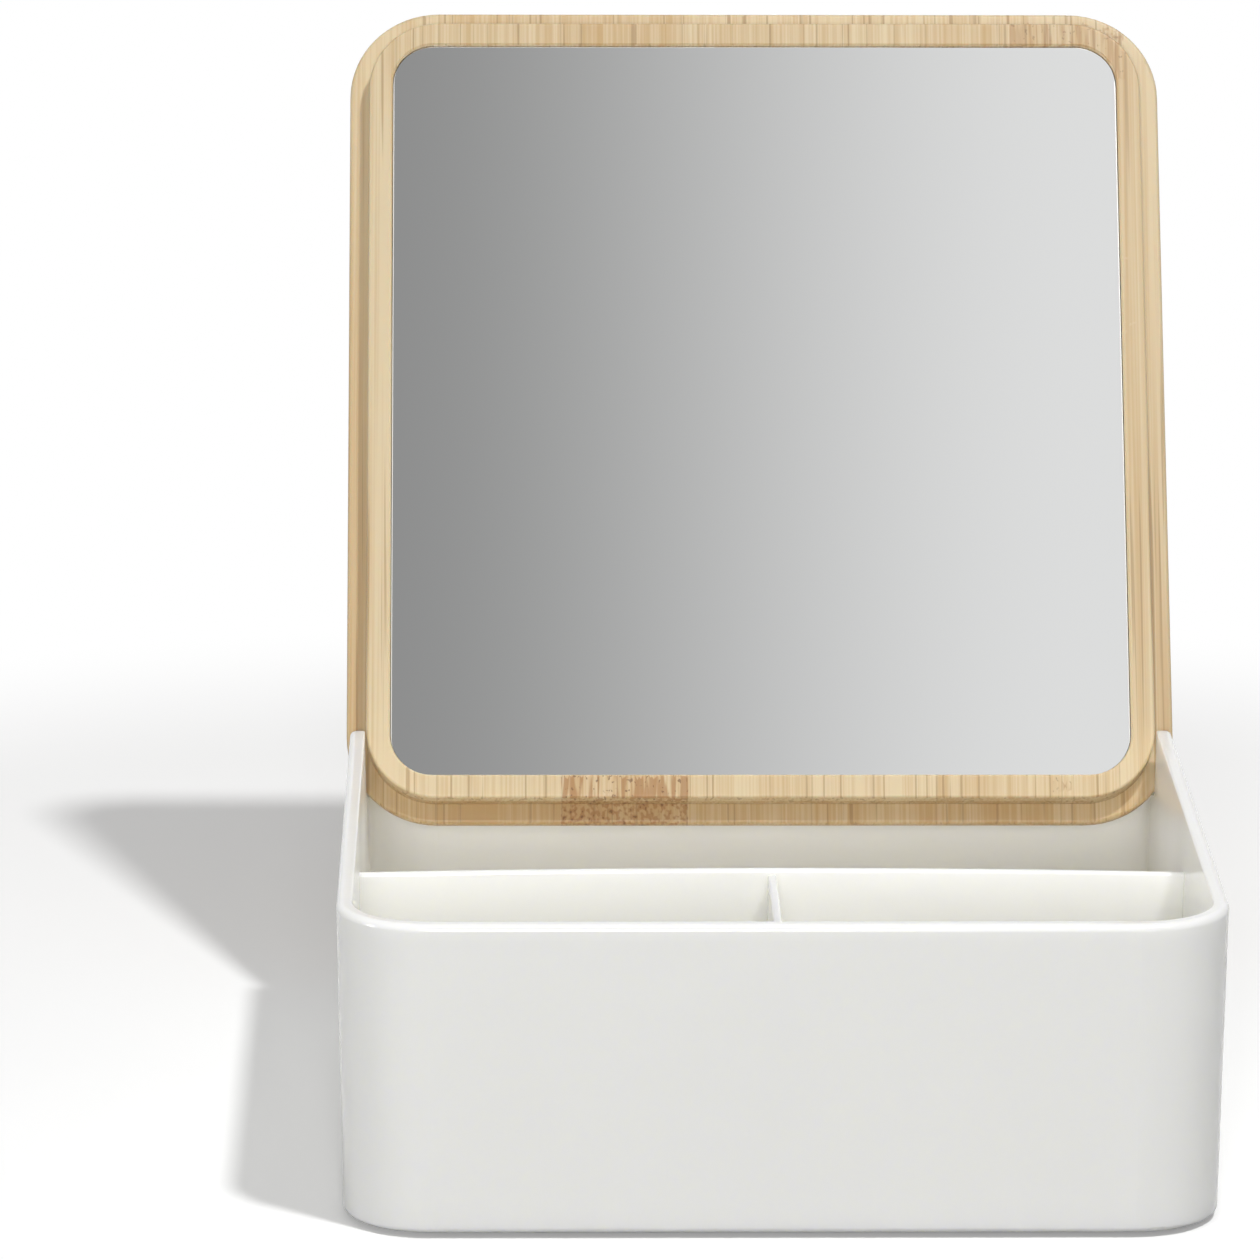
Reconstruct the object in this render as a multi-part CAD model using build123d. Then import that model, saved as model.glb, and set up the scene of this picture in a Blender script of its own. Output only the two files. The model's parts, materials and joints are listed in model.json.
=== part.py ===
from build123d import *
import math
import os

# A vanity box with a bamboo lid that stands up as a mirror. Millimetres, +Z up.
# The origin is on the table, under the centre of the box. -Y is the front.
# The lid is modelled where it stands in use, leaning back in the notches of the side walls.

# ---- box: one moulding with its walls, floor, two dividers and two notches for the lid ----
box_width = 175.0                 # outside, at the rim
box_depth = 181.8                 # outside, at the rim
box_height = 62.9                 # from the underside of the moulding to the rim
box_corner_radius = 18.5          # outside, at the rim
wall = 3.2
floor_thickness = 3.0
draft_angle = 1.0                 # degrees, the walls lean in towards the floor
rim_outer_round = 1.4
rim_inner_round = 0.4
underside_round = 1.2
inner_floor_round = 2.5

# ---- dividers ----
divider_thickness = 1.8
divider_edge_round = 0.7
front_compartment_depth = 76.5    # from the front wall's inner face to the cross divider
cross_divider_drop = 10.4         # from the rim to the crown of the cross divider
cross_divider_crown = 0.9         # its ends are this much lower than its middle
centre_divider_drop = 11.5        # from the rim to the top of the centre divider

# ---- feet ----
foot_diameter = 11.0
foot_stand_off = 1.0              # how far a foot stands out under the moulding
foot_recess_depth = 0.6
foot_recess_clearance = 0.2
foot_edge_round = 0.3
foot_inset = 15.0                 # from the rim's outside faces to a foot's centre

# ---- lid: one board, milled to a thin margin and a raised frame round the mirror ----
lid_overhang = 0.85               # beyond the box's rim on every side
margin_thickness = 4.0
margin_back_round = 2.4
margin_front_round = 0.8
frame_height = 5.6                # how far the raised frame stands out of the margin
frame_clearance = 0.2             # between the raised frame and the walls when the lid is shut
frame_rail_width = 5.1            # from the raised frame's outer edge to the mirror opening
frame_edge_round = 0.6
opening_corner_radius = 9.0
opening_chamfer = 0.4

# ---- mirror, stuck down in the lid's pocket ----
glass_recess = 1.0                # from the raised frame's face down to the glass
glass_thickness = 2.0
glass_side_clearance = 0.15
backing_thickness = 0.3
tape_thickness = 1.0
tape_width = 20.0
tape_end_margin = 15.0            # from the glass's edge to the end of a strip
tape_pitch = 55.0
tape_count = 3

# ---- how the lid stands in the notches ----
lean_angle = 29.3                 # degrees, back from upright
lid_setback = 20.3                # at rim height, from the rim's rear to the front of the lid's margin
lid_dip = 22.35                   # how far the lid reaches below the rim, measured along the lid
seat_gap = 0.3                    # between the lid and each face of its notch

lean = math.radians(lean_angle)
draft = math.radians(draft_angle)

rim_z = foot_stand_off + box_height
box_floor_z = foot_stand_off + floor_thickness
inside_width = box_width - 2 * wall
inside_depth = box_depth - 2 * wall
inside_corner_radius = box_corner_radius - wall
cross_divider_y = -inside_depth / 2 + front_compartment_depth + divider_thickness / 2

lid_width = box_width + 2 * lid_overhang
lid_length = box_depth + 2 * lid_overhang
lid_corner_radius = box_corner_radius + lid_overhang
frame_width = inside_width - 2 * frame_clearance
frame_length = inside_depth - 2 * frame_clearance
frame_corner_radius = inside_corner_radius - frame_clearance
opening_width = frame_width - 2 * frame_rail_width
opening_length = frame_length - 2 * frame_rail_width
pocket_depth = glass_recess + glass_thickness + backing_thickness + tape_thickness
lid_rim_y = box_depth / 2 - lid_setback


def edges_at_height(solid, z):
    """The level edges of a solid at one height."""
    return solid.edges().filter_by_position(Axis.Z, z - 0.01, z + 0.01)


def drafted_block(width, depth, corner_radius, top_z, height):
    """A rounded block with its size given at the top, narrowing downwards by the draft."""
    top = Plane((0, 0, top_z), z_dir=(0, 0, -1)) * RectangleRounded(width, depth, corner_radius)
    return extrude(top, amount=height, taper=draft_angle)


def rounded_plate(width, length, corner_radius, bottom_z, thickness):
    """A flat rounded plate in the lid's own frame, where Y runs up the lid from its lower edge."""
    outline = Pos(0, lid_length / 2, bottom_z) * RectangleRounded(width, length, corner_radius)
    return extrude(outline, amount=thickness)


def make_divider(length, top_z, crown):
    """An upright divider along X, with a rounded top that is lower at its ends by the crown."""
    half = length / 2
    foot_z = box_floor_z - floor_thickness / 2
    end_z = top_z - crown
    sides = Polyline((-half, end_z), (-half, foot_z), (half, foot_z), (half, end_z))
    if crown > 0:
        top = ThreePointArc((half, end_z), (0, top_z), (-half, end_z))
    else:
        top = Line((half, end_z), (-half, end_z))
    face = Plane.XZ * make_face(sides + top)
    divider = extrude(face, amount=divider_thickness / 2, both=True)
    top_edges = [edge for edge in divider.edges() if edge.length > 0.99 * length and edge.center().Z > end_z - 0.01]
    return fillet(top_edges, divider_edge_round)


def foot_places():
    """The four places of the feet, at table height."""
    return GridLocations(box_width - 2 * foot_inset, box_depth - 2 * foot_inset, 2, 2)


def make_lid_board():
    """The bamboo board in its own frame: the margin's front face is at Z 0, the frame stands out of it."""
    margin = rounded_plate(lid_width, lid_length, lid_corner_radius, -margin_thickness, margin_thickness)
    margin = fillet(edges_at_height(margin, -margin_thickness), margin_back_round)
    margin = fillet(edges_at_height(margin, 0), margin_front_round)
    frame = rounded_plate(frame_width, frame_length, frame_corner_radius,
                          -margin_thickness / 2, frame_height + margin_thickness / 2)
    frame = fillet(edges_at_height(frame, frame_height), frame_edge_round)
    pocket = rounded_plate(opening_width, opening_length, opening_corner_radius,
                           frame_height - pocket_depth, pocket_depth)
    board = margin + frame - pocket
    lip = board.faces().sort_by(Axis.Z)[-1].inner_wires()[0].edges()
    return chamfer(lip, opening_chamfer)


def glass_outline(bottom_z, thickness):
    """A layer of the mirror, as large as the pocket less its side clearance."""
    return rounded_plate(opening_width - 2 * glass_side_clearance, opening_length - 2 * glass_side_clearance,
                         opening_corner_radius - glass_side_clearance, bottom_z, thickness)


def make_tape():
    """Upright strips of foam tape on the floor of the pocket."""
    length = opening_length - 2 * glass_side_clearance - 2 * tape_end_margin
    middle = Pos(0, lid_length / 2, frame_height - pocket_depth + tape_thickness / 2)
    strips = [middle * place * Box(tape_width, length, tape_thickness)
              for place in GridLocations(tape_pitch, 0, tape_count, 1)]
    return Compound(children=strips)


def stand_in_notches(piece):
    """Moves a piece from the lid's own frame to where the lid stands, leaning back."""
    lower_edge = (0, lid_rim_y - lid_dip * math.sin(lean), rim_z - lid_dip * math.cos(lean))
    return Pos(lower_edge) * Rot(90 - lean_angle, 0, 0) * piece


def notch_room(standing_lid):
    """What the standing lid needs cut out of both side walls: upright in front, level below,
    and sloped behind like the lid's back, everywhere a seat gap away from the lid."""
    wall_inner_x = inside_width / 2 - lid_dip * math.tan(draft)
    in_walls = standing_lid & (Pos(wall_inner_x + wall, 0, rim_z) * Box(2 * wall, 2 * box_depth, 2 * lid_dip))
    lowest = in_walls.bounding_box().min
    floor_z = lowest.Z - seat_gap
    front_y = lowest.Y - seat_gap
    top_z = rim_z + wall
    rear_at_rim = lid_rim_y + (margin_thickness + seat_gap) / math.cos(lean)
    outline = Polyline((front_y, floor_z), (rear_at_rim + (floor_z - rim_z) * math.tan(lean), floor_z),
                       (rear_at_rim + (top_z - rim_z) * math.tan(lean), top_z), (front_y, top_z), close=True)
    return extrude(Plane.YZ * make_face(outline), amount=box_width, both=True)


def make_box(standing_lid):
    outside = drafted_block(box_width, box_depth, box_corner_radius, rim_z, box_height)
    outside = fillet(edges_at_height(outside, foot_stand_off), underside_round)
    outside = fillet(edges_at_height(outside, rim_z), rim_outer_round)
    hollow = drafted_block(inside_width, inside_depth, inside_corner_radius, rim_z, box_height - floor_thickness)
    hollow = fillet(edges_at_height(hollow, box_floor_z), inner_floor_round)
    shell = outside - hollow
    inner_rim = shell.faces().sort_by(Axis.Z)[-1].inner_wires()[0].edges()
    shell = fillet(inner_rim, rim_inner_round)

    cross = Pos(0, cross_divider_y, 0) * make_divider(box_width - wall, rim_z - cross_divider_drop,
                                                      cross_divider_crown)
    centre_length = wall / 2 + front_compartment_depth + divider_thickness / 2
    centre_y = cross_divider_y - centre_length / 2
    centre = Pos(0, centre_y, 0) * Rot(0, 0, 90) * make_divider(centre_length, rim_z - centre_divider_drop, 0)
    box = shell + ((cross + centre) & outside) - notch_room(standing_lid)

    recess = Cylinder(foot_diameter / 2 + foot_recess_clearance, foot_recess_depth,
                      align=(Align.CENTER, Align.CENTER, Align.MIN))
    for place in foot_places():
        box -= place * Pos(0, 0, foot_stand_off) * recess
    return box


def make_feet():
    """Four rubber discs, each let into a shallow recess under the box."""
    foot = Cylinder(foot_diameter / 2, foot_stand_off + foot_recess_depth,
                    align=(Align.CENTER, Align.CENTER, Align.MIN))
    foot = fillet(edges_at_height(foot, 0), foot_edge_round)
    return Compound(children=[place * foot for place in foot_places()])


lid_board = stand_in_notches(make_lid_board())
tape_z = frame_height - pocket_depth
backing_z = tape_z + tape_thickness
glass_z = backing_z + backing_thickness

nodes = {
    "box": make_box(lid_board),
    "foot_pads": make_feet(),
    "lid_board": lid_board,
    "mirror_glass": stand_in_notches(glass_outline(glass_z, glass_thickness)),
    "mirror_backing": stand_in_notches(glass_outline(backing_z, backing_thickness)),
    "mirror_tape": stand_in_notches(make_tape()),
}

os.makedirs("parts", exist_ok=True)
for name, solid in nodes.items():
    export_step(solid, f"parts/{name}.step")
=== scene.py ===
import json
import math

import bpy
from mathutils import Matrix, Vector


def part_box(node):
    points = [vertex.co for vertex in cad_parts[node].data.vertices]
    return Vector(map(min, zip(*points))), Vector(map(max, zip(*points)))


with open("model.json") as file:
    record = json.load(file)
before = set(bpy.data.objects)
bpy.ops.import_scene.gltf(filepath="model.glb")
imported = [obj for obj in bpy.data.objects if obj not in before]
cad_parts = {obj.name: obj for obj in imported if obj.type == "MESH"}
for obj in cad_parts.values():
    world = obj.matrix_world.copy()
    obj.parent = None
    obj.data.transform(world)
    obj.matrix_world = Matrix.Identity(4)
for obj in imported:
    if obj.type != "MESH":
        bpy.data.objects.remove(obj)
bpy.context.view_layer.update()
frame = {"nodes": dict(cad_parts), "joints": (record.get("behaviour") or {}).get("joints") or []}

# Metres, in the frame of the solids: the origin is on the table under the centre of the box,
# -Y is the front, and the lid stands leaning back in the notches of the side walls.

# ---- colours, as linear light ----
WHITE_PLASTIC = (0.975, 0.965, 0.900)
BAMBOO_PALE = (0.685, 0.560, 0.360)
BAMBOO_WARM = (0.530, 0.350, 0.160)
BAMBOO_LINE = (0.330, 0.198, 0.080)
BAMBOO_NODE = (0.365, 0.175, 0.055)
BAMBOO_DOT = (0.165, 0.070, 0.024)
SILVER = (0.930, 0.937, 0.935)
GROUND_EDGE = (0.540, 0.530, 0.500)
FILM_GREY = (0.330, 0.335, 0.340)
FILM_DARK = (0.270, 0.275, 0.280)
FOAM = (0.800, 0.800, 0.780)
FOAM_PIT_PAINTED_SHADE = (0.620, 0.620, 0.600)
FOOT_GREY = (0.200, 0.200, 0.195)
FOOT_DARK = (0.150, 0.150, 0.147)
FLOOR_WHITE = 0.98                # as the camera sees it
FLOOR_BOUNCE = 0.13               # as the object sees it

# ---- the bamboo board: upright strips glued side by side, seen from the mirror's centre ----
STRIP_WIDTH = 0.0266
STRIP_JOINT_X = -0.0158           # one glued joint; the others follow at the strip width
MARGIN_LEVEL = -0.0010            # between the milled margin's face and the raised frame's
FACE_WARMTH = (0.14, 0.38, 0.58, 0.34, 0.20, 0.54, 0.38)      # strip by strip, from the left
# The milled margin's warmth is partly its own tone and partly painted shade: it is set warmer than the face so
# that the bottom margin looks shaded under the raised frame.
MARGIN_WARMTH_AND_PAINTED_SHADE = (0.46, 0.82, 0.84, 0.50, 0.54, 0.60, 0.36)
FACE_DRIFT = 1.3                  # how much warmer the board gets towards its top, per metre
# The margin is painted warmer towards the bottom of the board and paler towards its top: partly tone, partly
# painted shade under the raised frame's lower rail.
MARGIN_DRIFT_AND_PAINTED_SHADE = -4.0
FINE_FIBRE = 0.00055
BROAD_FIBRE = 0.0034
# Bamboo nodes: across, along, half width, half height, strength.
NODES = (
    (-0.0291, -0.0880, 0.0133, 0.0055, 1.00),
    (0.0685, 0.0815, 0.0125, 0.0068, 0.55),
    (0.0640, -0.0850, 0.0018, 0.0010, 0.60),
)
# Pale scars of small nodes: across, along, half width, half height.
SCARS = (
    (0.0795, 0.0330, 0.0009, 0.0006),
    (0.0792, 0.0175, 0.0030, 0.0012),
)
NODE_SOFTNESS = 0.0004

# ---- the mirror's edge ----
GLASS_CORNER_RADIUS = 0.00885
GROUND_WIDTH = 0.0003

# ---- camera, as the photograph was taken ----
CAMERA_PLACE = (-0.0537, -1.5339, 0.46685)
CAMERA_PITCH = 0.2341             # radians, downwards
CAMERA_YAW = 0.0161               # towards +X
CAMERA_ROLL = 0.0037
SENSOR_WIDTH_MM = 36.0
FOCAL_LENGTH_MM = 221.09

# ---- studio ----
KEY_PLACE = (0.541, -0.6445, 1.845)
KEY_DIAMETER = 0.16
KEY_WATTS = 20.4
FILL_PLACE = (-0.10, -1.58, 0.44)
FILL_SIZE = 0.30
FILL_WATTS = 10.8
SIDE_FILL_PLACE = (-1.35, -0.35, 0.14)
SIDE_FILL_SIZE = 0.24
SIDE_FILL_WATTS = 4.0
BACK_FILL_PLACE = (0.05, 1.60, 0.16)
BACK_FILL_SIZE = 0.24
BACK_FILL_WATTS = 5.5
SKY_LEVEL = 0.24
FLOOR_LIFT = 0.155                # what the floor shows beyond the light that falls on it
FLOOR_FADE_FROM = 0.30            # from here to the next distance, the floor goes over to plain white
FLOOR_FADE_TO = 0.44


def make_cloud_group():
    """A soft cloud between two values, shared by the plastic, the mirror, the film, the foam and the feet."""
    group = bpy.data.node_groups.new("soft_cloud", "ShaderNodeTree")
    group.interface.new_socket("Place", in_out="INPUT", socket_type="NodeSocketVector")
    for name in ("Size", "Detail", "Low", "High"):
        group.interface.new_socket(name, in_out="INPUT", socket_type="NodeSocketFloat")
    group.interface.new_socket("Value", in_out="OUTPUT", socket_type="NodeSocketFloat")
    inward = group.nodes.new("NodeGroupInput")
    outward = group.nodes.new("NodeGroupOutput")
    scaled = group.nodes.new("ShaderNodeVectorMath")
    scaled.operation = "DIVIDE"
    sizes = group.nodes.new("ShaderNodeCombineXYZ")
    noise = group.nodes.new("ShaderNodeTexNoise")
    noise.inputs["Scale"].default_value = 1.0
    level = group.nodes.new("ShaderNodeMapRange")
    level.interpolation_type = "SMOOTHSTEP"
    level.inputs["From Min"].default_value = 0.3
    level.inputs["From Max"].default_value = 0.7
    for axis in "XYZ":
        group.links.new(inward.outputs["Size"], sizes.inputs[axis])
    group.links.new(inward.outputs["Place"], scaled.inputs[0])
    group.links.new(sizes.outputs["Vector"], scaled.inputs[1])
    group.links.new(scaled.outputs["Vector"], noise.inputs["Vector"])
    group.links.new(inward.outputs["Detail"], noise.inputs["Detail"])
    group.links.new(noise.outputs["Fac"], level.inputs["Value"])
    group.links.new(inward.outputs["Low"], level.inputs["To Min"])
    group.links.new(inward.outputs["High"], level.inputs["To Max"])
    group.links.new(level.outputs["Result"], outward.inputs["Value"])
    return group


class Surface:
    """A material with a Principled shader, and short ways to add and join its nodes."""

    def __init__(self, name, base, roughness, **sockets):
        self.material = bpy.data.materials.new(name)
        self.material.use_nodes = True
        self.tree = self.material.node_tree
        self.shader = self.tree.nodes["Principled BSDF"]
        self.shader.inputs["Base Color"].default_value = (*base, 1.0)
        self.shader.inputs["Roughness"].default_value = roughness
        for socket, value in sockets.items():
            self.shader.inputs[socket.replace("_", " ")].default_value = value

    def node(self, kind, **settings):
        made = self.tree.nodes.new("ShaderNode" + kind)
        for key, value in settings.items():
            setattr(made, key, value)
        return made

    def join(self, source, target):
        self.tree.links.new(source, target)

    def math(self, operation, first, second=None, third=None):
        made = self.node("Math", operation=operation)
        for slot, value in enumerate((first, second, third)):
            if value is None:
                continue
            if isinstance(value, (int, float)):
                made.inputs[slot].default_value = value
            else:
                self.join(value, made.inputs[slot])
        return made.outputs[0]

    def mix(self, factor, first, second, blend="MIX"):
        made = self.node("Mix", data_type="RGBA", blend_type=blend)
        for slot, value in ((0, factor), (6, first), (7, second)):
            if isinstance(value, (int, float)):
                made.inputs[slot].default_value = value
            elif isinstance(value, tuple):
                made.inputs[slot].default_value = (*value, 1.0)
            else:
                self.join(value, made.inputs[slot])
        return made.outputs[2]

    def noise(self, vector, scale, detail=2.0, roughness=0.5):
        made = self.node("TexNoise")
        self.join(vector, made.inputs["Vector"])
        made.inputs["Scale"].default_value = scale
        made.inputs["Detail"].default_value = detail
        made.inputs["Roughness"].default_value = roughness
        return made.outputs["Fac"]

    def step(self, value, low, high):
        """0 below low, 1 above high, smooth between."""
        made = self.node("MapRange", interpolation_type="SMOOTHSTEP")
        self.join(value, made.inputs["Value"])
        made.inputs["From Min"].default_value = low
        made.inputs["From Max"].default_value = high
        return made.outputs["Result"]

    def cloud(self, size, detail, low, high):
        """The shared cloud, with patches of a size in metres."""
        made = self.node("Group")
        made.node_tree = cloud_group
        self.join(self.node("TexCoord").outputs["Object"], made.inputs["Place"])
        for name, value in (("Size", size), ("Detail", detail), ("Low", low), ("High", high)):
            made.inputs[name].default_value = value
        return made.outputs["Value"]

    def bump(self, height, strength, distance):
        made = self.node("Bump")
        made.inputs["Strength"].default_value = strength
        made.inputs["Distance"].default_value = distance
        self.join(height, made.inputs["Height"])
        self.join(made.outputs["Normal"], self.shader.inputs["Normal"])


def lean_of_lid():
    """The lid's lean from upright, which is also the lean of the way that it lifts out."""
    axis = frame["joints"][0]["axis"]
    return math.atan2(axis[1], axis[2])


def centre_of(node):
    low, high = (Vector(corner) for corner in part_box(node))
    return (low + high) / 2


def seen_flat(surface):
    """Places on the lid as it lies flat: across, along from the mirror's centre, and out of it."""
    turn = surface.node("Mapping", vector_type="TEXTURE")
    turn.inputs["Location"].default_value = centre_of("mirror_glass")
    turn.inputs["Rotation"].default_value = (math.pi / 2 - lean_of_lid(), 0.0, 0.0)
    surface.join(surface.node("TexCoord").outputs["Object"], turn.inputs["Vector"])
    split = surface.node("SeparateXYZ")
    surface.join(turn.outputs["Vector"], split.inputs["Vector"])
    return split.outputs


def white_plastic():
    """Moulded plastic with a soft gloss; light passes some way into it."""
    surface = Surface("white_plastic", WHITE_PLASTIC, 0.24, Subsurface_Weight=1.0, Subsurface_Scale=0.002)
    surface.shader.inputs["Subsurface Radius"].default_value = (1.0, 1.0, 0.9)
    surface.join(surface.cloud(0.040, 1.0, 0.17, 0.20), surface.shader.inputs["Roughness"])
    surface.bump(surface.cloud(0.0015, 0.0, 0.0, 1.0), 0.03, 0.0001)
    return surface.material


def within_box(surface, across, along, centre, half, jagged=None):
    """1 inside a small box on the board, 0 outside, with a soft edge that may be jagged."""
    beside = surface.math("ABSOLUTE", surface.math("SUBTRACT", across, centre[0]))
    above = surface.math("ABSOLUTE", surface.math("SUBTRACT", along, centre[1]))
    if jagged is not None:
        above = surface.math("ADD", above, jagged)
    return surface.math("MULTIPLY", surface.step(beside, half[0] + NODE_SOFTNESS, half[0]),
                        surface.step(above, half[1] + NODE_SOFTNESS, half[1]))


def bamboo():
    """Glued strips with fine fibres along the board, thin dark lines, joints and a few nodes."""
    surface = Surface("bamboo", BAMBOO_PALE, 0.45, Subsurface_Weight=0.3, Subsurface_Scale=0.003)
    surface.shader.inputs["Subsurface Radius"].default_value = (1.0, 0.45, 0.18)
    across, along, out = seen_flat(surface)
    in_strips = surface.math("DIVIDE", surface.math("SUBTRACT", across, STRIP_JOINT_X), STRIP_WIDTH)
    strip = surface.math("FLOOR", in_strips)
    in_margin = surface.step(out, MARGIN_LEVEL, MARGIN_LEVEL - 0.0001)

    def drawn_out(width, length):
        """Places in a grain that is drawn out along the board; width and length in metres."""
        stretched = surface.node("CombineXYZ")
        surface.join(surface.math("DIVIDE", across, width), stretched.inputs["X"])
        surface.join(surface.math("MULTIPLY_ADD", strip, 17.3, surface.math("DIVIDE", along, length)),
                     stretched.inputs["Y"])
        surface.join(surface.math("DIVIDE", out, width * 2.0), stretched.inputs["Z"])
        return stretched.outputs["Vector"]

    def strip_values(values):
        """One of the values for each strip, in steps from the left."""
        total = values[0]
        for count, (before, after) in enumerate(zip(values, values[1:])):
            edge = STRIP_JOINT_X + (count - 2) * STRIP_WIDTH
            passed = surface.math("GREATER_THAN", across, edge)
            total = surface.math("MULTIPLY_ADD", passed, after - before, total)
        return total

    fine = surface.noise(drawn_out(FINE_FIBRE, 0.080), 1.0, 1.0)
    broad = surface.noise(drawn_out(BROAD_FIBRE, 0.160), 1.0, 1.0)
    lines = surface.noise(drawn_out(0.0010, 0.110), 1.0, 1.0)
    streaks = surface.noise(drawn_out(0.0011, 0.0120), 1.0, 1.0)
    specks = surface.noise(drawn_out(0.0008, 0.0011), 1.0, 1.0)

    # The margin's warmth per strip carries painted shade as well as tone.
    warmth_and_margin_shade = surface.node("Mix", data_type="FLOAT")
    surface.join(in_margin, warmth_and_margin_shade.inputs[0])
    surface.join(strip_values(FACE_WARMTH), warmth_and_margin_shade.inputs[2])
    surface.join(strip_values(MARGIN_WARMTH_AND_PAINTED_SHADE), warmth_and_margin_shade.inputs[3])
    total = surface.math("MULTIPLY_ADD", surface.step(fine, 0.30, 0.70), 0.55, warmth_and_margin_shade.outputs[0])
    total = surface.math("MULTIPLY_ADD", surface.step(broad, 0.36, 0.68), 0.45, total)
    # The margin's drift paints it warmer towards the board's bottom, as painted shade under the raised frame.
    drift_and_margin_shade = surface.math("MULTIPLY_ADD", in_margin, MARGIN_DRIFT_AND_PAINTED_SHADE - FACE_DRIFT, FACE_DRIFT)
    total = surface.math("MULTIPLY_ADD", along, drift_and_margin_shade, total)
    spread = surface.node("MapRange", clamp=True)
    spread.inputs["From Min"].default_value = 0.42
    spread.inputs["From Max"].default_value = 1.65
    surface.join(total, spread.inputs["Value"])
    colour = surface.mix(spread.outputs["Result"], BAMBOO_PALE, BAMBOO_WARM)
    colour = surface.mix(surface.math("MULTIPLY", surface.step(lines, 0.60, 0.68), 0.55), colour, BAMBOO_LINE)

    place_in_strip = surface.math("FRACT", in_strips)
    from_joint = surface.math("MINIMUM", place_in_strip, surface.math("SUBTRACT", 1.0, place_in_strip))
    joint = surface.step(from_joint, 0.010, 0.003)
    colour = surface.mix(surface.math("MULTIPLY", joint, 0.30), colour, BAMBOO_LINE)

    jagged = surface.math("MULTIPLY_ADD", streaks, 0.0060, -0.0030)
    marked = 0.0
    for x, y, half_width, half_height, strength in NODES:
        inside = within_box(surface, across, along, (x, y), (half_width, half_height), jagged)
        marked = surface.math("MULTIPLY_ADD", inside, strength, marked)
    pattern = surface.node("Mix", data_type="FLOAT")
    surface.join(in_margin, pattern.inputs[0])
    surface.join(surface.step(streaks, 0.44, 0.60), pattern.inputs[2])
    surface.join(surface.step(specks, 0.42, 0.60), pattern.inputs[3])
    stain = surface.math("MULTIPLY", marked, surface.math("MULTIPLY_ADD", pattern.outputs[0], 0.66, 0.06))
    colour = surface.mix(stain, colour, BAMBOO_NODE)
    dots = surface.math("MULTIPLY", marked, surface.step(specks, 0.64, 0.72))
    colour = surface.mix(surface.math("MULTIPLY", dots, 0.70), colour, BAMBOO_DOT)

    scarred = 0.0
    for x, y, half_width, half_height in SCARS:
        inside = within_box(surface, across, along, (x, y), (half_width, half_height))
        scarred = surface.math("MAXIMUM", inside, scarred)
    scarred = surface.math("MULTIPLY", scarred, surface.step(specks, 0.50, 0.62))
    colour = surface.mix(surface.math("MULTIPLY", scarred, 0.40), colour, BAMBOO_PALE)
    surface.join(colour, surface.shader.inputs["Base Color"])
    surface.join(surface.math("MULTIPLY_ADD", fine, 0.14, 0.36), surface.shader.inputs["Roughness"])
    surface.bump(surface.math("SUBTRACT", fine, stain), 0.20, 0.0001)
    return surface.material


def silvered_glass():
    """Glass with its silver coat, as one mirror, with a ground edge all round."""
    surface = Surface("silvered_glass", SILVER, 0.0, Metallic=1.0)
    across, along, _ = seen_flat(surface)
    low, high = (Vector(corner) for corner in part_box("mirror_glass"))
    half_width = (high.x - low.x) / 2
    half_length = (high - low).z / 2 / math.cos(lean_of_lid())
    past = []
    for value, half in ((across, half_width), (along, half_length)):
        reach = surface.math("SUBTRACT", surface.math("ABSOLUTE", value), half - GLASS_CORNER_RADIUS)
        past.append(surface.math("MAXIMUM", reach, 0.0))
    squares = surface.math("MULTIPLY_ADD", past[0], past[0], surface.math("MULTIPLY", past[1], past[1]))
    from_corner = surface.math("SQRT", squares)
    ground = surface.step(from_corner, GLASS_CORNER_RADIUS - GROUND_WIDTH, GLASS_CORNER_RADIUS - GROUND_WIDTH / 2)
    surface.join(surface.mix(ground, SILVER, GROUND_EDGE), surface.shader.inputs["Base Color"])
    haze = surface.cloud(0.050, 2.0, 0.0, 0.012)
    surface.join(surface.math("MULTIPLY_ADD", ground, 0.45, haze), surface.shader.inputs["Roughness"])
    return surface.material


def backing_film():
    """The grey paint and safety film on the back of the mirror."""
    surface = Surface("backing_film", FILM_GREY, 0.55)
    surface.join(surface.mix(surface.cloud(0.0060, 3.0, 0.0, 1.0), FILM_GREY, FILM_DARK),
                 surface.shader.inputs["Base Color"])
    surface.join(surface.cloud(0.0015, 2.0, 0.45, 0.62), surface.shader.inputs["Roughness"])
    return surface.material


def foam_tape():
    """Closed-cell foam, with its cells as fine pits, which are painted darker in their hollows as painted shade.
    """
    surface = Surface("foam_tape", FOAM, 0.85)
    cells = surface.cloud(0.0005, 1.0, 0.0, 1.0)
    # The hollows of the cells are painted darker: painted shade.
    surface.join(surface.mix(cells, FOAM_PIT_PAINTED_SHADE, FOAM), surface.shader.inputs["Base Color"])
    surface.bump(cells, 0.40, 0.0002)
    return surface.material


def foot_rubber():
    """Grey rubber with a fine matt grain, a little scuffed."""
    surface = Surface("foot_rubber", FOOT_GREY, 0.7)
    surface.join(surface.mix(surface.cloud(0.0030, 3.0, 0.0, 1.0), FOOT_GREY, FOOT_DARK),
                 surface.shader.inputs["Base Color"])
    surface.join(surface.cloud(0.0010, 1.0, 0.60, 0.80), surface.shader.inputs["Roughness"])
    surface.bump(surface.cloud(0.0004, 1.0, 0.0, 1.0), 0.20, 0.0001)
    return surface.material


def dress(node, material):
    """Gives a node its finish in every material slot it has."""
    mesh = frame["nodes"][node].data
    mesh.materials.clear()
    mesh.materials.append(material)


def shows_background(tree):
    """1 for a ray that shows the background: seen straight, in a mirror or through glass."""
    rays = tree.nodes.new("ShaderNodeLightPath")
    total = rays.outputs["Is Camera Ray"]
    for name in ("Is Glossy Ray", "Is Transmission Ray"):
        add = tree.nodes.new("ShaderNodeMath")
        add.operation = "MAXIMUM"
        tree.links.new(total, add.inputs[0])
        tree.links.new(rays.outputs[name], add.inputs[1])
        total = add.outputs[0]
    return total


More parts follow.
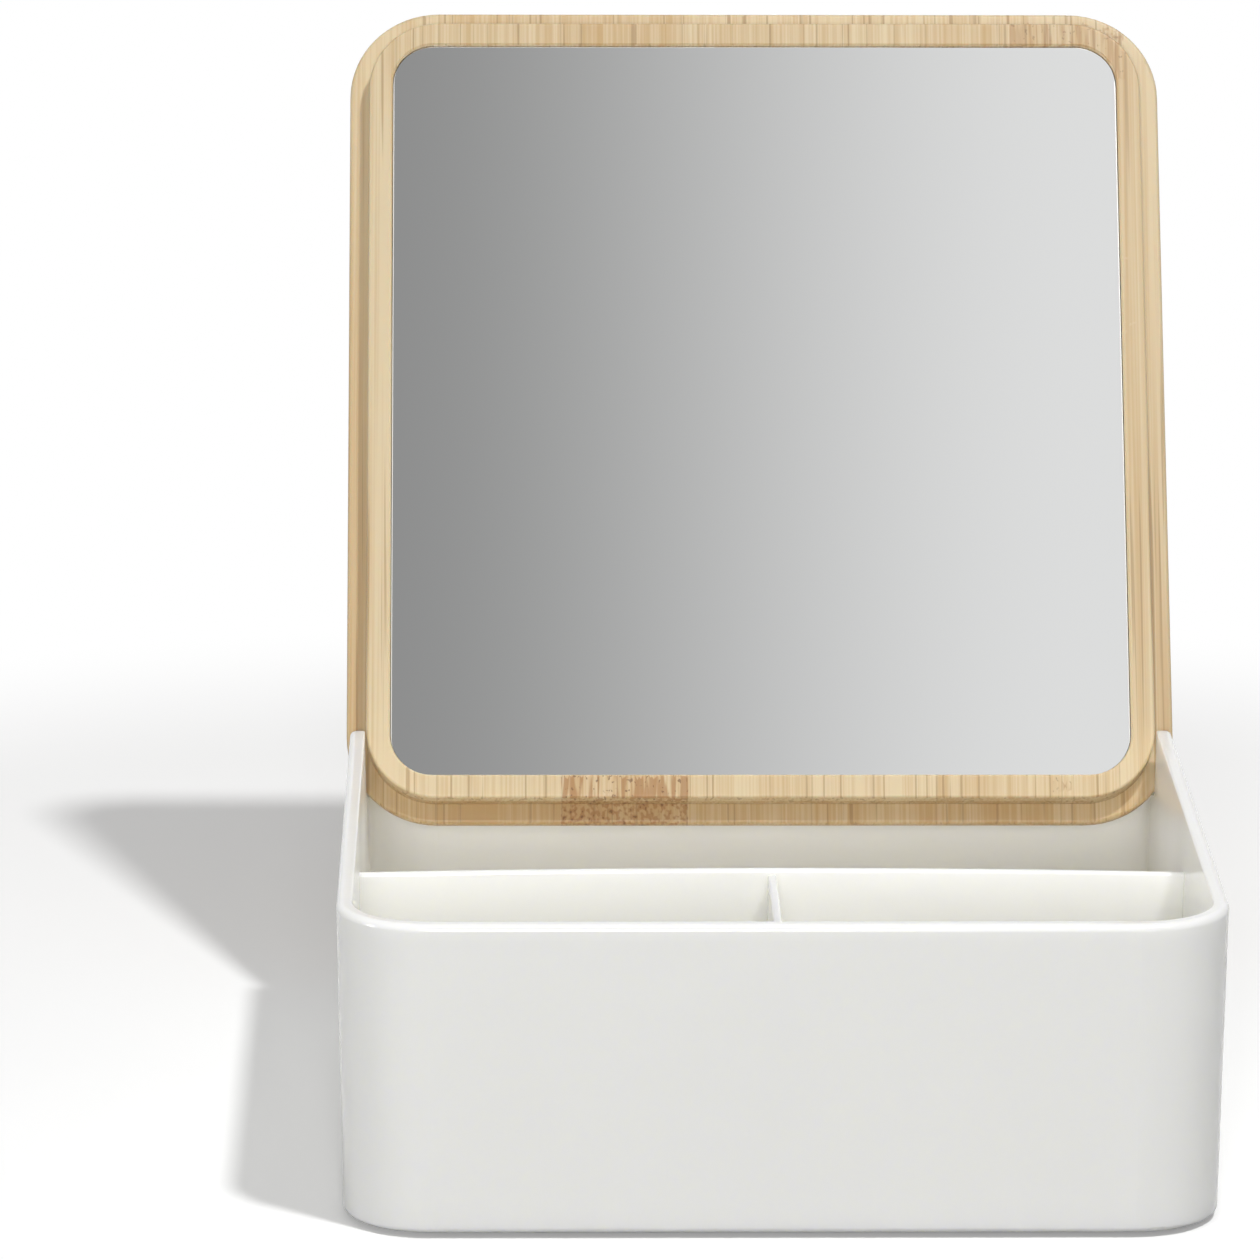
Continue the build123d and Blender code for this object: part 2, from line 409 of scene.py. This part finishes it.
def make_floor():
    """A plain white floor that keeps the shadow near the object and is pure white far away."""
    bpy.ops.object.select_all(action="DESELECT")
    bpy.ops.mesh.primitive_plane_add(size=30.0, location=(0.0, 0.0, 0.0))
    floor = bpy.context.object
    floor.name = "floor"
    material = bpy.data.materials.new("floor_white")
    material.use_nodes = True
    tree = material.node_tree
    shader = tree.nodes["Principled BSDF"]
    shader.inputs["Roughness"].default_value = 1.0
    shader.inputs["Specular IOR Level"].default_value = 0.0
    shader.inputs["Emission Color"].default_value = (1.0, 1.0, 1.0, 1.0)
    seen = shows_background(tree)
    place = tree.nodes.new("ShaderNodeTexCoord")
    distance = tree.nodes.new("ShaderNodeVectorMath")
    distance.operation = "LENGTH"
    tree.links.new(place.outputs["Object"], distance.inputs[0])

    def fade_outwards(near, far):
        """One value near the object, another far from it."""
        fade = tree.nodes.new("ShaderNodeMapRange")
        fade.interpolation_type = "SMOOTHSTEP"
        fade.inputs["From Min"].default_value = FLOOR_FADE_FROM
        fade.inputs["From Max"].default_value = FLOOR_FADE_TO
        fade.inputs["To Min"].default_value = near
        fade.inputs["To Max"].default_value = far
        tree.links.new(distance.outputs["Value"], fade.inputs["Value"])
        return fade.outputs["Result"]

    white = tree.nodes.new("ShaderNodeMapRange")
    white.inputs["To Min"].default_value = FLOOR_BOUNCE
    tree.links.new(fade_outwards(FLOOR_WHITE, 0.0), white.inputs["To Max"])
    tree.links.new(seen, white.inputs["Value"])
    tree.links.new(white.outputs["Result"], shader.inputs["Base Color"])
    lift = tree.nodes.new("ShaderNodeMath")
    lift.operation = "MULTIPLY"
    tree.links.new(fade_outwards(FLOOR_LIFT, 1.0), lift.inputs[0])
    tree.links.new(seen, lift.inputs[1])
    tree.links.new(lift.outputs[0], shader.inputs["Emission Strength"])
    floor.data.materials.append(material)


def make_world():
    world = bpy.data.worlds.new("studio")
    bpy.context.scene.world = world
    world.use_nodes = True
    tree = world.node_tree
    background = tree.nodes["Background"]
    background.inputs["Color"].default_value = (1.0, 1.0, 1.0, 1.0)
    seen = shows_background(tree)
    level = tree.nodes.new("ShaderNodeMapRange")
    level.inputs["To Min"].default_value = SKY_LEVEL
    level.inputs["To Max"].default_value = 1.0
    tree.links.new(seen, level.inputs["Value"])
    tree.links.new(level.outputs["Result"], background.inputs["Strength"])


def make_lamp(name, shape, size, place, watts):
    """A soft lamp that points at the object."""
    light = bpy.data.lights.new(name, "AREA")
    light.shape = shape
    light.size = size
    light.energy = watts
    lamp = bpy.data.objects.new(name, light)
    bpy.context.scene.collection.objects.link(lamp)
    lamp.location = place
    lamp.rotation_euler = (-Vector(place)).to_track_quat("-Z", "Y").to_euler()
    lamp.visible_camera = False


def make_gradient_card():
    """A large grey card high in front of the mirror, lighter to the right and white at its edges."""
    bpy.ops.object.select_all(action="DESELECT")
    bpy.ops.mesh.primitive_plane_add(size=1.0, location=(0.0, 0.0, 0.0))
    card = bpy.context.object
    card.name = "gradient_card"
    normal_back = Vector((0.0, 0.71, -0.704)).normalized()
    right = Vector((1.0, 0.0, 0.0))
    upward = normal_back.cross(right)
    centre = centre_of("mirror_glass") - normal_back * 1.2
    place = Matrix.Translation(centre) @ Matrix((right, upward, normal_back)).transposed().to_4x4()
    card.data.transform(place @ Matrix.Diagonal((1.2, 1.2, 1.0, 1.0)))
    material = bpy.data.materials.new("gradient_card")
    material.use_nodes = True
    tree = material.node_tree
    tree.nodes.clear()
    out = tree.nodes.new("ShaderNodeOutputMaterial")
    glow = tree.nodes.new("ShaderNodeEmission")
    tree.links.new(glow.outputs["Emission"], out.inputs["Surface"])
    place = tree.nodes.new("ShaderNodeTexCoord")
    split = tree.nodes.new("ShaderNodeSeparateXYZ")
    tree.links.new(place.outputs["Object"], split.inputs["Vector"])
    level = tree.nodes.new("ShaderNodeMapRange")
    level.interpolation_type = "SMOOTHSTEP"
    level.inputs["From Min"].default_value = -0.115
    level.inputs["From Max"].default_value = 0.17
    level.inputs["To Min"].default_value = 0.285
    level.inputs["To Max"].default_value = 0.77
    tree.links.new(split.outputs["X"], level.inputs["Value"])
    apart = tree.nodes.new("ShaderNodeVectorMath")
    apart.operation = "DISTANCE"
    apart.inputs[1].default_value = centre
    tree.links.new(place.outputs["Object"], apart.inputs[0])
    edge = tree.nodes.new("ShaderNodeMapRange")
    edge.interpolation_type = "SMOOTHSTEP"
    edge.inputs["From Min"].default_value = 0.28
    edge.inputs["From Max"].default_value = 0.56
    edge.inputs["To Max"].default_value = 1.0
    tree.links.new(apart.outputs["Value"], edge.inputs["Value"])
    tree.links.new(level.outputs["Result"], edge.inputs["To Min"])
    tree.links.new(edge.outputs["Result"], glow.inputs["Strength"])
    card.data.materials.append(material)
    card.visible_camera = False
    card.visible_diffuse = False
    card.visible_shadow = False


def make_camera():
    camera = bpy.data.cameras.new("camera")
    camera.sensor_fit = "HORIZONTAL"
    camera.sensor_width = SENSOR_WIDTH_MM
    camera.lens = FOCAL_LENGTH_MM
    camera.clip_start = 0.05
    camera.clip_end = 60.0
    ahead = Vector((math.sin(CAMERA_YAW), math.cos(CAMERA_YAW), 0.0))
    right = Vector((math.cos(CAMERA_YAW), -math.sin(CAMERA_YAW), 0.0))
    up = Vector((0.0, 0.0, 1.0))
    look = ahead * math.cos(CAMERA_PITCH) - up * math.sin(CAMERA_PITCH)
    head = up * math.cos(CAMERA_PITCH) + ahead * math.sin(CAMERA_PITCH)
    side = right * math.cos(CAMERA_ROLL) + head * math.sin(CAMERA_ROLL)
    crown = head * math.cos(CAMERA_ROLL) - right * math.sin(CAMERA_ROLL)
    stand = bpy.data.objects.new("camera", camera)
    bpy.context.scene.collection.objects.link(stand)
    stand.matrix_world = Matrix.Translation(CAMERA_PLACE) @ Matrix((side, crown, -look)).transposed().to_4x4()
    bpy.context.scene.camera = stand


cloud_group = make_cloud_group()
dress("box", white_plastic())
dress("foot_pads", foot_rubber())
dress("lid_board", bamboo())
dress("mirror_glass", silvered_glass())
dress("mirror_backing", backing_film())
dress("mirror_tape", foam_tape())

make_floor()
make_world()
make_lamp("key", "DISK", KEY_DIAMETER, KEY_PLACE, KEY_WATTS)
make_lamp("fill", "SQUARE", FILL_SIZE, FILL_PLACE, FILL_WATTS)
make_lamp("side_fill", "SQUARE", SIDE_FILL_SIZE, SIDE_FILL_PLACE, SIDE_FILL_WATTS)
make_lamp("back_fill", "SQUARE", BACK_FILL_SIZE, BACK_FILL_PLACE, BACK_FILL_WATTS)
make_gradient_card()
make_camera()
bpy.context.scene.view_settings.view_transform = "Standard"
